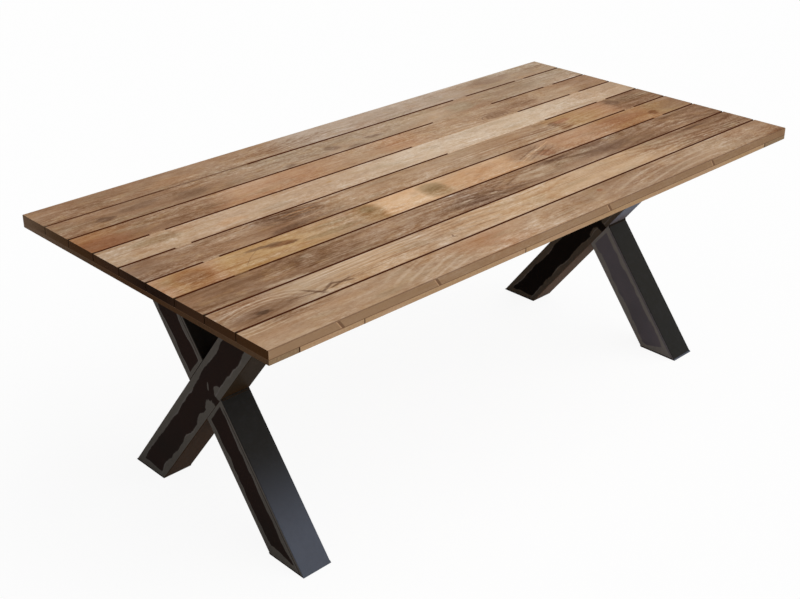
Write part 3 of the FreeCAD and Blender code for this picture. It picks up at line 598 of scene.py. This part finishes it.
# tones of the battens' faces that look along x, from the front (0) to the back (1): oiled end grain on the
# lengths, painted shade on the long grain of the cross battens
BATTEN_ENDS = [(0.0, "loam"), (0.4, "walnut"), (0.55, "walnut"), (0.75, "loam"), (1.0, "drab")]
BATTEN_SHIFT = 3.1
# half the width of the dark line where two edge lengths meet, and beside an end batten
BUTT_LINE = 0.0018
END_LINE = 0.0034


def batten_material(name, along, joints, tone, seed):
    """Plain oiled wood whose grain runs along x (0) or y (1), dark at its butt joints, with dark end tones
    and painted shade on the faces that look along x.
    """
    material, shader, wire = start_material(name, roughness=0.6, specular=WOOD_GLOSS)
    spot = axes(wire)
    sides = facing(wire)

    def grain(with_it, across, shift):
        """Noise drawn out along the batten."""
        scale = [across, across, across]
        scale[along] = with_it
        return noise(*spot, scale, seed + shift, 3.0, 0.6)

    fibre = grain(9, 430, 0)
    streak = grain(5, 50, 9)
    fleck = grain(180, 180, 15)
    surface = streak.ramp(0.3, 0.7).blend(colour(TONES[tone]), colour(TONES["tan"]))
    surface = deepen(surface, (fibre - 0.5) * 0.5 + (streak - 0.5) * 0.5 + (fleck - 0.5) * 0.5 + 1.0)
    speck = fleck.ramp(0.4, 0.7)
    end_wood = speck.blend(colour(TONES["stone"]), colour(TONES["flax"]))
    surface = looks_along(sides[along]).blend(surface, end_wood)
    # faces that look along x take the dark end tones: oiled end grain on the lengths, painted shade on the
    # cross battens
    surface = looks_along(sides[0]).blend(surface, paint_ends(spot[1], speck, BATTEN_ENDS))
    for joint, width in joints:
        surface = lay(surface, abs(spot[0] - joint).ramp(width, width * 0.5), "bark")
    surface = lay(surface, draw_seam(sides[2], spot[2], -0.0012, -0.0004), "umber", 0.8)
    feed(shader, Base_Color=surface, Normal=emboss(fibre, 0.3, GRAIN_DEPTH))
    return material


batten_nodes = sorted(node for node in nodes if node.endswith("batten") or "batten_length" in node)
for order, node in enumerate(batten_nodes):
    low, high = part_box(node)
    if "batten_length" in node:
        along = 0
        tone = "khaki"
        joints = [(low.x, BUTT_LINE), (high.x, BUTT_LINE)]
    else:
        along = 1
        tone = "olive" if order % 2 else "fawn"
        joints = [(min(low.x, high.x, key=abs), END_LINE)] if "end" in node else []
    wood = batten_material(f"wood_{node}", along, joints, tone, order * BATTEN_SHIFT)
    dress(nodes[node], wood)

# --- Leg frames -------------------------------------------------------------------------------
# Two X frames of box section steel: a long bar runs through, and an upper arm and a lower leg
# are cut to its slant and welded to it. Blackened, ground bare by hand along the edges of the
# outer faces, then lacquered, which leaves ragged grey borders round a black middle.

BAR_WIDTH = 0.105
BAR_DEPTH = 0.090
FOOT_SPACING = 0.597
ARM_SPACING = 0.527
ARM_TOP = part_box("left_long_bar")[1].z
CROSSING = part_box("left_lower_leg")[1].z
LEAN = math.atan2(2 * ARM_TOP, FOOT_SPACING + ARM_SPACING)
FRAMES = [("left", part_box("left_long_bar")), ("right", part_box("right_long_bar"))]
# the ground border: its width, the softness of its edge, and how far out and how wide its glint is
RIM_WIDTH = 0.0205
RIM_EDGE = 0.0012
GLINT_PLACE = 0.0022
GLINT_WIDTH = 0.0024
# spots on a frame's outer faces: middle across and up, size, and height where it differs
BARE_SPOTS = [(-0.022, 0.334, 0.026), (-0.060, 0.398, 0.022), (-0.0145, 0.400, 0.0035, 0.013)]
BLACK_SPOT = (-0.048, 0.366, 0.022)
# black and grey of the faces that look right, the glint in the border and the sheen on top
RIGHT_BLACK = "1e1a17"
RIGHT_GREY = "4a4641"
GLINT_GREY = "6a6563"
BRUSHED_SHEEN_GREY = "34343a"


def spot_mask(y, z, wobble, middle_y, middle_z, size, height=None):
    """1 inside a ragged round spot on a frame's outer face."""
    along, up = (y - middle_y) / size, (z - middle_z) / (height or size)
    return ((along * along + up * up).root() + (wobble - 0.5) * 0.9).ramp(1.05, 0.9)


def below_zero(distance):
    """1 where a distance is below 0, with a soft edge."""
    return distance.ramp(RIM_EDGE, -RIM_EDGE)


def across_bar(y, z, lean):
    """How far a point of a frame's outer face is from the middle line of a bar."""
    return y * (math.sin(LEAN) * lean) + (z - CROSSING) * math.cos(LEAN)


def frame_material(name, lean, seed, middle, greys, upper_tones_with_sheen, under_tones, groove=None):
    """Blackened steel; lean tells which way a bar leans: 1 long bar, -1 short bars, 0 plates."""
    material, shader, wire = start_material(name, roughness=0.42, specular=0.004)
    x, y, z = axes(wire)
    side_x, side_y, side_z = facing(wire)
    wobble = noise(x, y, z, (3, 13, 13), seed, 1.0)
    ripple = noise(x, y, z, (3, 45, 45), seed + 5)
    brushed = noise(x, y, z, (60, 60, 60), seed + 9, 4.0, 0.7)
    smoky = noise(x, y, z, (4, 7, 7), seed + 14)
    outer = looks_along(side_x)
    # faces that look right take the plain black; faces that look left take the given middle, painted
    # lighter on the right frame's short bars against the shade they face
    looks_right = side_x.ramp(-0.5, 0.5)
    black = looks_right.blend(smoky.blend(colour(middle[0]), colour(middle[1])), colour(RIGHT_BLACK))
    # faces that look up: tones that change with height, a painted sheen in place of reflections, with a
    # grey painted sheen along the brushing
    upper = z.ramp(0.05, 0.28).blend(colour(upper_tones_with_sheen[0]), colour(upper_tones_with_sheen[1]))
    upper = (brushed.ramp(0.4, 0.7) * 0.12).blend(upper, colour(BRUSHED_SHEEN_GREY))
    under_place = z.ramp(CROSSING - 0.04, CROSSING + 0.06)
    under = under_place.blend(colour(under_tones[0]), colour(under_tones[1]))
    surface = outer.blend(side_z.ramp(-0.1, 0.1).blend(under, upper), black)
    coat = side_z.ramp(0.1, 0.5) * (1 - outer) * 0.08

    if lean:
        across = across_bar(y, z, lean)
        rim = RIM_WIDTH + (wobble - 0.5) * 0.026 + (ripple - 0.5) * 0.008
        depth_in = BAR_WIDTH / 2 - abs(across) - rim
        border = below_zero(depth_in).larger(below_zero(z - rim * 1.2))
        grey = (brushed * 0.6 + smoky * 0.4).blend(colour(greys[0]), colour(greys[1]))
        grey = looks_right.blend(grey, colour(RIGHT_GREY))
        glint = abs(depth_in + GLINT_PLACE).ramp(GLINT_WIDTH, GLINT_WIDTH / 3)
        past_joint = abs(across_bar(y, z, -lean)) - BAR_WIDTH / 2
        if lean > 0:
            border = border * (1 - spot_mask(y, z, ripple, *BLACK_SPOT))
            for spot in BARE_SPOTS:
                border = border.larger(spot_mask(y, z, ripple, *spot))
        else:
            border = border.larger(below_zero(past_joint - rim * 0.5))
        bare = border * outer
        grey = (bare * glint * smoky.ramp(0.45, 0.6) * 0.4).blend(grey, colour(GLINT_GREY))
        if groove:
            groove_place, groove_width = groove
            line = abs(BAR_WIDTH / 2 - across - groove_place).ramp(groove_width, groove_width * 0.4)
            grey = (line * past_joint.ramp(0.01, 0.03) * 0.8).blend(grey, black)
        surface = bare.blend(surface, grey)
        coat = coat + bare * 0.04
    feed(shader, Base_Color=surface, Roughness=0.42 + brushed * 0.14, Coat_Weight=coat)
    feed(shader, Normal=emboss(brushed, 0.15, 0.0003))
    shader.inputs["Coat Roughness"].default_value = 0.32
    return material


LEFT_TONES = dict(
    middle=("1e1a17", "2a1b17"), greys=("4a4641", "5c5650"),
    upper_tones_with_sheen=("4a4e58", "1c1a17"), under_tones=("33200f", "2e241a"))
# the right frame's short bars: middle and greys painted lighter, and the faces that look up painted darker,
# than the left frame's, as painted light and shade that evens out how the light falls on them
RIGHT_SHORT_TONES = dict(
    middle=("4a4649", "5f5a60"), greys=("66625f", "7a7571"),
    upper_tones_with_sheen=("1b1a17", "1f1d19"), under_tones=("3c2f27", "3c2f27"))
RIGHT_LONG_TONES = dict(
    middle=("0c0907", "191310"), greys=("3f352c", "4f453b"),
    upper_tones_with_sheen=("2a2823", "3a3d40"), under_tones=("5a4537", "6a6c76"))
# the dark groove in the short bars' border: how far from the edge, and half its width
LEFT_GROOVE = (0.0085, 0.0022)
RIGHT_GROOVE = (0.004, 0.006)
dress(nodes["left_long_bar"], frame_material("steel_left_long", 1, 0.0, **LEFT_TONES))
dress(nodes["right_long_bar"], frame_material("steel_right_long", 1, 60.0, **RIGHT_LONG_TONES))
left_short = frame_material("steel_left_short", -1, 20.0, **LEFT_TONES, groove=LEFT_GROOVE)
right_short = frame_material("steel_right_short", -1, 80.0, **RIGHT_SHORT_TONES, groove=RIGHT_GROOVE)
for part in ("upper_arm", "lower_leg"):
    dress(nodes[f"left_{part}"], left_short)
    dress(nodes[f"right_{part}"], right_short)
plain_steel = frame_material("steel_plain", 0, 30.0, **LEFT_TONES)
for name, box in FRAMES:
    dress(nodes[f"{name}_foot_plates"], plain_steel)
    dress(nodes[f"{name}_mount_plate"], plain_steel)

# --- Welds ------------------------------------------------------------------------------------
# Fillet welds laid by hand in the four notches of each X, and round both arms where they
# meet the mounting plate. Each bead is a row of overlapping drops, blackened with the frame.

BEAD_RADIUS = 0.0052
DROP_PITCH = 0.0042
DROP_SQUASH = 0.6
DROP_LEAN = math.radians(28)
BEAD_GRAIN = 0.001


def lay_bead(start, end):
    """Lay overlapping drops of weld metal from start to end and fuse them."""
    start, end = Vector(start), Vector(end)
    bpy.ops.mesh.primitive_uv_sphere_add(segments=12, ring_count=8, radius=BEAD_RADIUS)
    bead = bpy.context.object
    bpy.ops.object.mode_set(mode="EDIT")
    bpy.ops.transform.resize(value=(1, 1, DROP_SQUASH))
    bpy.ops.transform.rotate(value=DROP_LEAN, orient_axis="X", center_override=(0, 0, 0))
    bpy.ops.object.mode_set(mode="OBJECT")
    drops = bead.modifiers.new("drops", "ARRAY")
    drops.use_relative_offset = False
    drops.use_constant_offset = True
    drops.constant_offset_displace = (0, 0, DROP_PITCH)
    drops.count = round((end - start).length / DROP_PITCH) + 1
    fuse = bead.modifiers.new("fuse", "REMESH")
    fuse.mode = "VOXEL"
    fuse.voxel_size = BEAD_GRAIN
    bpy.ops.object.modifier_apply(modifier="drops")
    bpy.ops.object.modifier_apply(modifier="fuse")
    bead.location = start
    bead.rotation_euler = (end - start).to_track_quat("Z", "Y").to_euler()
    bpy.ops.object.transform_apply(location=True, rotation=True, scale=True)
    bpy.ops.object.shade_smooth()
    return bead


def join_pieces(pieces, name):
    """Make one object of several and name it."""
    bpy.ops.object.select_all(action="DESELECT")
    for piece in pieces:
        piece.select_set(True)
    bpy.context.view_layer.objects.active = pieces[0]
    bpy.ops.object.join()
    joined = bpy.context.object
    joined.name = name
    joined.data.name = name
    bpy.ops.object.select_all(action="DESELECT")
    return joined


HALF_WIDTH = BAR_WIDTH / 2
HALF_DEPTH = BAR_DEPTH / 2
HALF_FOOTING = HALF_WIDTH / math.sin(LEAN)
NOTCH_RISE = HALF_WIDTH / math.cos(LEAN)
# a bead in a notch stops short of the bar's faces; one at a plate lies outside the arm's
# faces and a little below the plate
NOTCH_REACH = HALF_DEPTH - 0.005
PLATE_X = HALF_DEPTH + 0.001
PLATE_Y = HALF_FOOTING + 0.001
PLATE_Z = ARM_TOP - 0.002
for name, (low, high) in FRAMES:
    middle = (low.x + high.x) / 2
    left, right = middle - NOTCH_REACH, middle + NOTCH_REACH
    lines = []
    for side in (-1, 1):
        for notch_y, notch_z in ((0, CROSSING + side * NOTCH_RISE), (side * HALF_FOOTING, CROSSING)):
            lines.append(((left, notch_y, notch_z), (right, notch_y, notch_z)))
        arm = side * ARM_SPACING / 2
        for edge in (-1, 1):
            bead_x = middle + edge * PLATE_X
            bead_y = arm + edge * PLATE_Y
            lines.append(((middle - PLATE_X, bead_y, PLATE_Z), (middle + PLATE_X, bead_y, PLATE_Z)))
            lines.append(((bead_x, arm - PLATE_Y, PLATE_Z), (bead_x, arm + PLATE_Y, PLATE_Z)))
    welds = join_pieces([lay_bead(*line) for line in lines], f"{name}_weld_beads")
    dress(welds, plain_steel)
    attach(welds, "root")
    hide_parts(f"{name}_frame_welds")

# --- Frame bolts and washers --------------------------------------------------------------------
# Hexagon bolts of zinc plated steel, six up through the slots of each mounting plate into
# threaded inserts, each with a stamped round washer under its head.

zinc, shader, wire = start_material("zinc", roughness=0.35, specular=0.5)
x, y, z = axes(wire)
cloudy = noise(x, y, z, (200, 200, 200), seed=2.0, detail=3.0)
zinc_colour = cloudy.blend(colour("a5a8ab"), colour("c2c0b4"))
feed(shader, Base_Color=zinc_colour, Roughness=0.28 + cloudy * 0.2)
shader.inputs["Metallic"].default_value = 1.0
dress(nodes["threaded_inserts"], zinc)


def find_places(node):
    """The middle along and across, and the lowest height, of each loose solid of a node."""
    bpy.ops.object.select_all(action="DESELECT")
    copy = bpy.data.objects.new("copy", nodes[node].data.copy())
    bpy.context.scene.collection.objects.link(copy)
    copy.select_set(True)
    bpy.context.view_layer.objects.active = copy
    bpy.ops.object.mode_set(mode="EDIT")
    bpy.ops.mesh.select_all(action="SELECT")
    bpy.ops.mesh.remove_doubles(threshold=1e-6)
    bpy.ops.mesh.separate(type="LOOSE")
    bpy.ops.object.mode_set(mode="OBJECT")
    places = []
    for part in list(bpy.context.selected_objects):
        corners = [vertex.co for vertex in part.data.vertices]
        low = [min(corner[axis] for corner in corners) for axis in range(3)]
        high = [max(corner[axis] for corner in corners) for axis in range(3)]
        places.append(((low[0] + high[0]) / 2, (low[1] + high[1]) / 2, low[2]))
        bpy.data.objects.remove(part)
    return sorted(places)


def select_faces(piece, way):
    """Go to edit mode with the faces selected that look up (1) or down (-1)."""
    bpy.ops.object.mode_set(mode="OBJECT")
    for part in (piece.data.vertices, piece.data.edges):
        for item in part:
            item.select = False
    for face in piece.data.polygons:
        face.select = face.normal.z * way > 0.9
    bpy.ops.object.mode_set(mode="EDIT")
    bpy.ops.mesh.select_mode(type="FACE")


def copy_to(piece, places, name):
    """Copy a piece made at the origin to each place, each with its own mesh, and join them."""
    copies = []
    for place in places:
        one = piece.copy()
        one.data = piece.data.copy()
        one.location = place
        bpy.context.scene.collection.objects.link(one)
        copies.append(one)
    bpy.data.objects.remove(piece)
    joined = join_pieces(copies, name)
    joined.select_set(True)
    bpy.ops.object.transform_apply(location=True, rotation=True, scale=True)
    bpy.ops.object.select_all(action="DESELECT")
    dress(joined, zinc)
    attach(joined, "root")
    return joined


WASHER_RADIUS = 0.009
WASHER_HOLE = 0.00425
WASHER_THICKNESS = 0.0016
WASHER_EDGE = 0.0003
bpy.ops.mesh.primitive_circle_add(vertices=32, radius=WASHER_HOLE)
washer = bpy.context.object
bpy.ops.object.mode_set(mode="EDIT")
bpy.ops.mesh.extrude_edges_move()
widening = WASHER_RADIUS / WASHER_HOLE
bpy.ops.transform.resize(value=(widening, widening, 1))
bpy.ops.mesh.select_all(action="SELECT")
bpy.ops.mesh.extrude_region_move(TRANSFORM_OT_translate={"value": (0, 0, WASHER_THICKNESS)})
bpy.ops.mesh.select_all(action="SELECT")
bpy.ops.mesh.normals_make_consistent(inside=False)
bpy.ops.object.mode_set(mode="OBJECT")
rim = washer.modifiers.new("rim", "BEVEL")
rim.width = WASHER_EDGE
rim.segments = 1
bpy.ops.object.modifier_apply(modifier="rim")
washers = copy_to(washer, find_places("frame_washers"), "round_washers")
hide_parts("frame_washers")

BOLT_FLATS = 0.013
BOLT_HEAD = 0.0053
HEAD_CHAMFER = 0.0008
HEAD_RIM = 0.0018
HEAD_DISH = 0.0004
SHANK_RADIUS = 0.004
SHANK_LENGTH = 0.025
SHANK_CHAMFER = 0.001
bpy.ops.mesh.primitive_cylinder_add(vertices=6, radius=BOLT_FLATS / math.sqrt(3), depth=BOLT_HEAD,
                                    location=(0, 0, BOLT_HEAD / 2))
head = bpy.context.object
bpy.ops.object.transform_apply(location=True, rotation=True, scale=True)
select_faces(head, -1)
bpy.ops.mesh.bevel(offset=HEAD_CHAMFER, segments=2)
select_faces(head, -1)
bpy.ops.mesh.inset(thickness=HEAD_RIM)
bpy.ops.transform.translate(value=(0, 0, HEAD_DISH))
bpy.ops.object.mode_set(mode="OBJECT")
bpy.ops.mesh.primitive_cylinder_add(vertices=16, radius=SHANK_RADIUS, depth=SHANK_LENGTH,
                                    location=(0, 0, BOLT_HEAD + SHANK_LENGTH / 2))
shank = bpy.context.object
bpy.ops.object.transform_apply(location=True, rotation=True, scale=True)
select_faces(shank, 1)
bpy.ops.mesh.bevel(offset=SHANK_CHAMFER, segments=1)
bpy.ops.object.mode_set(mode="OBJECT")
bolt = join_pieces([head, shank], "bolt")
bolts = copy_to(bolt, find_places("frame_bolts"), "hexagon_bolts")
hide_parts("frame_bolts")

# --- Wood screws --------------------------------------------------------------------------------
# Screws of zinc plated steel with a flat head and a round recess, sunk in the cross battens
# from below, one for each plank that the batten passes under.

SCREW_RADIUS = 0.0044
SCREW_HEAD = 0.0018
SCREW_ROUNDING = 0.0006
SCREW_SHANK = 0.002
SCREW_POINT = 0.0005
SCREW_LENGTH = 0.030
RECESS_RIM = 0.0017
RECESS_DEPTH = 0.0011
RECESS_TAPER = 0.8
bpy.ops.mesh.primitive_cylinder_add(vertices=20, radius=SCREW_RADIUS, depth=SCREW_HEAD,
                                    location=(0, 0, SCREW_HEAD / 2))
screw_head = bpy.context.object
bpy.ops.object.transform_apply(location=True, rotation=True, scale=True)
select_faces(screw_head, -1)
bpy.ops.mesh.bevel(offset=SCREW_ROUNDING, segments=2)
select_faces(screw_head, -1)
bpy.ops.mesh.inset(thickness=RECESS_RIM)
bpy.ops.mesh.extrude_region_move(TRANSFORM_OT_translate={"value": (0, 0, RECESS_DEPTH)})
bpy.ops.transform.resize(value=(RECESS_TAPER, RECESS_TAPER, 1))
bpy.ops.object.mode_set(mode="OBJECT")
bpy.ops.mesh.primitive_cone_add(vertices=12, radius1=SCREW_SHANK, radius2=SCREW_POINT,
                                depth=SCREW_LENGTH - SCREW_HEAD,
                                location=(0, 0, (SCREW_LENGTH + SCREW_HEAD) / 2))
screw_shank = bpy.context.object
bpy.ops.object.transform_apply(location=True, rotation=True, scale=True)
screw = join_pieces([screw_head, screw_shank], "screw")
screws = copy_to(screw, find_places("batten_screws"), "wood_screws")
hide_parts("batten_screws")

# --- Stage, light and camera --------------------------------------------------------------------
# A pale floor and background, one broad soft lamp from the front right and an even fill.
# The camera looks down at the table from off its front left corner.

scene = bpy.context.scene
scene.view_settings.view_transform = "Standard"

FLOOR_SIZE = 40.0
FLOOR_DROP = 0.0005
FLOOR_WHITE = 0.92
bpy.ops.mesh.primitive_plane_add(size=FLOOR_SIZE, location=(0, 0, -FLOOR_DROP))
floor = bpy.context.object
floor.name = "floor"
floor_material = bpy.data.materials.new("pale_floor")
floor_material.use_nodes = True
tree = floor_material.node_tree
tree.nodes.clear()
wire = Wire(tree)


def seen_directly(wire):
    """1 for rays from the camera, from gloss and through glass."""
    shares = [wire.node("LightPath", output=name) for name in
              ("Is Camera Ray", "Is Glossy Ray", "Is Transmission Ray")]
    return (shares[0] + shares[1] + shares[2]).ramp(0.0, 1.0)


shown = wire.node("BsdfDiffuse", values={"Color": (0.9, 0.9, 0.9, 1)})
white = wire.node("Emission", values={"Color": (1, 1, 1, 1), "Strength": 1.0})
pale = wire.node("MixShader", values={0: seen_directly(wire) * FLOOR_WHITE, 1: shown, 2: white})
output = tree.nodes.new("ShaderNodeOutputMaterial")
tree.links.new(pale.socket, output.inputs["Surface"])
floor.data.materials.append(floor_material)

FILL = 0.35
world = bpy.data.worlds.new("studio")
scene.world = world
world.use_nodes = True
tree = world.node_tree
wire = Wire(tree)
background = tree.nodes["Background"]
background.inputs["Color"].default_value = (1, 1, 1, 1)
strength = seen_directly(wire) * (1 - FILL) + FILL
tree.links.new(strength.socket, background.inputs["Strength"])

KEY_STRENGTH = 2.52
KEY_SPREAD = math.radians(80)
KEY_FROM = Vector((0.5, -0.5, 0.8))
key_data = bpy.data.lights.new("key", "SUN")
key_data.energy = KEY_STRENGTH
key_data.angle = KEY_SPREAD
key = bpy.data.objects.new("key", key_data)
key.rotation_euler = KEY_FROM.to_track_quat("Z", "Y").to_euler()
scene.collection.objects.link(key)

CAMERA_PLACE = (-2.39487, -2.3335, 2.02921)
CAMERA_TURN = -0.77025
CAMERA_TILT = 0.44729
CAMERA_LENS = 57.41
CAMERA_SHIFT = (-0.0036, -0.0301)
camera_data = bpy.data.cameras.new("camera")
camera_data.sensor_width = 36.0
camera_data.lens = CAMERA_LENS
camera_data.shift_x = CAMERA_SHIFT[0]
camera_data.shift_y = CAMERA_SHIFT[1]
camera = bpy.data.objects.new("camera", camera_data)
camera.location = CAMERA_PLACE
camera.rotation_euler = (math.pi / 2 - CAMERA_TILT, 0, CAMERA_TURN)
scene.collection.objects.link(camera)
scene.camera = camera
